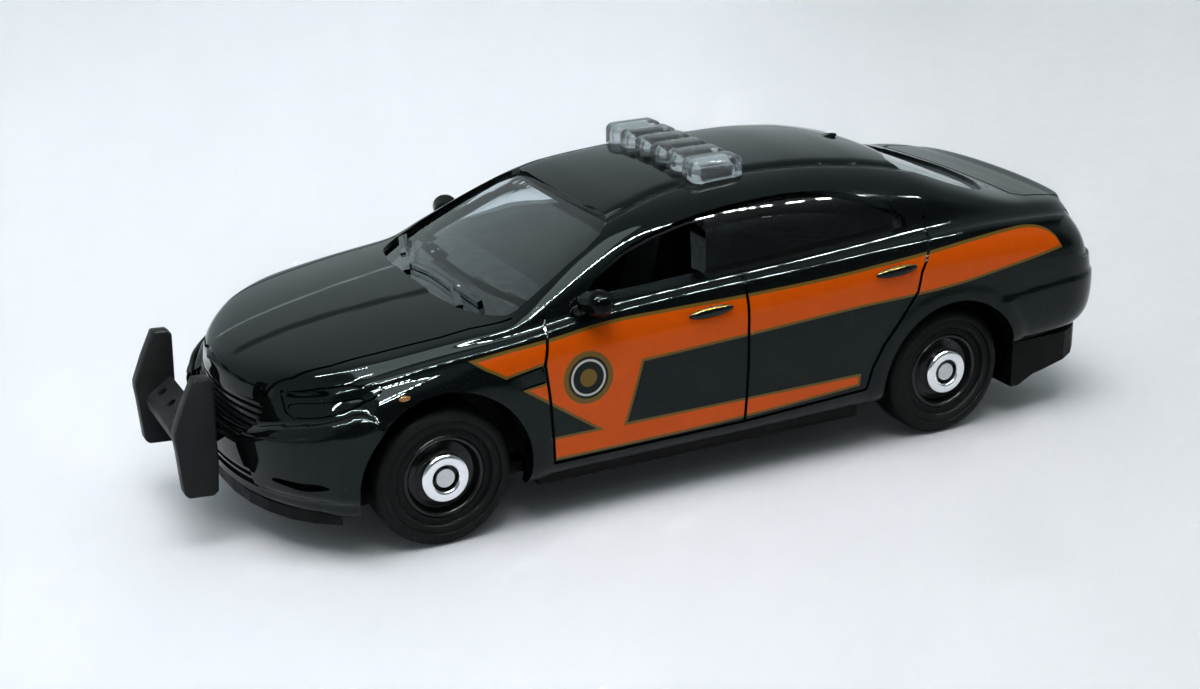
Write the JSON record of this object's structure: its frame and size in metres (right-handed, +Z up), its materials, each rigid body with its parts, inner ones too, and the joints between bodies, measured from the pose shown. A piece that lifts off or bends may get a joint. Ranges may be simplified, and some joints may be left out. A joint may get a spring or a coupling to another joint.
{
  "type": "toy police car",
  "caption": "Die-cast toy police patrol car: gloss black shell with orange side bands, clear windows, clear roof light bar, black push bar, base and free-turning wheels.",
  "frame": {"origin": "on the ground, below the middle of the car's bounding box", "axes": "+X forward, +Y to the car's left, +Z up"},
  "size_m": [0.0736, 0.03, 0.0225],
  "materials": {
    "black_paint": "gloss",
    "clear_plastic": "clear",
    "clear_lamp": "clear",
    "interior_plastic": "matt",
    "base_plastic": "satin",
    "matt_plastic": "matt",
    "steel": "bright",
    "tyre_plastic": "matt",
    "rim_plastic": "gloss",
    "chrome": "bright"
  },
  "bodies": {
    "car": {"body_casting": "black_paint", "window_moulding": "clear_plastic", "light_bar": "clear_lamp", "interior": "interior_plastic", "base_plate": "base_plastic", "push_bar": "matt_plastic", "front_axle": "steel", "rear_axle": "steel"},
    "wheel_front_left": {"tyre_front_left": "tyre_plastic", "rim_front_left": "rim_plastic", "ring_front_left": "chrome"},
    "wheel_front_right": {"tyre_front_right": "tyre_plastic", "rim_front_right": "rim_plastic", "ring_front_right": "chrome"},
    "wheel_rear_left": {"tyre_rear_left": "tyre_plastic", "rim_rear_left": "rim_plastic", "ring_rear_left": "chrome"},
    "wheel_rear_right": {"tyre_rear_right": "tyre_plastic", "rim_rear_right": "rim_plastic", "ring_rear_right": "chrome"}
  },
  "joints": [
    {"name": "wheel_spin_front_left", "type": "hinge", "parent": "car", "child": "wheel_front_left", "pos_m": [0.0205, 0.0118, 0.005], "axis": [0, 1, 0], "continuous": true},
    {"name": "wheel_spin_front_right", "type": "hinge", "parent": "car", "child": "wheel_front_right", "pos_m": [0.0205, -0.0118, 0.005], "axis": [0, 1, 0], "continuous": true},
    {"name": "wheel_spin_rear_left", "type": "hinge", "parent": "car", "child": "wheel_rear_left", "pos_m": [-0.0205, 0.0118, 0.005], "axis": [0, 1, 0], "continuous": true},
    {"name": "wheel_spin_rear_right", "type": "hinge", "parent": "car", "child": "wheel_rear_right", "pos_m": [-0.0205, -0.0118, 0.005], "axis": [0, 1, 0], "continuous": true}
  ]
}
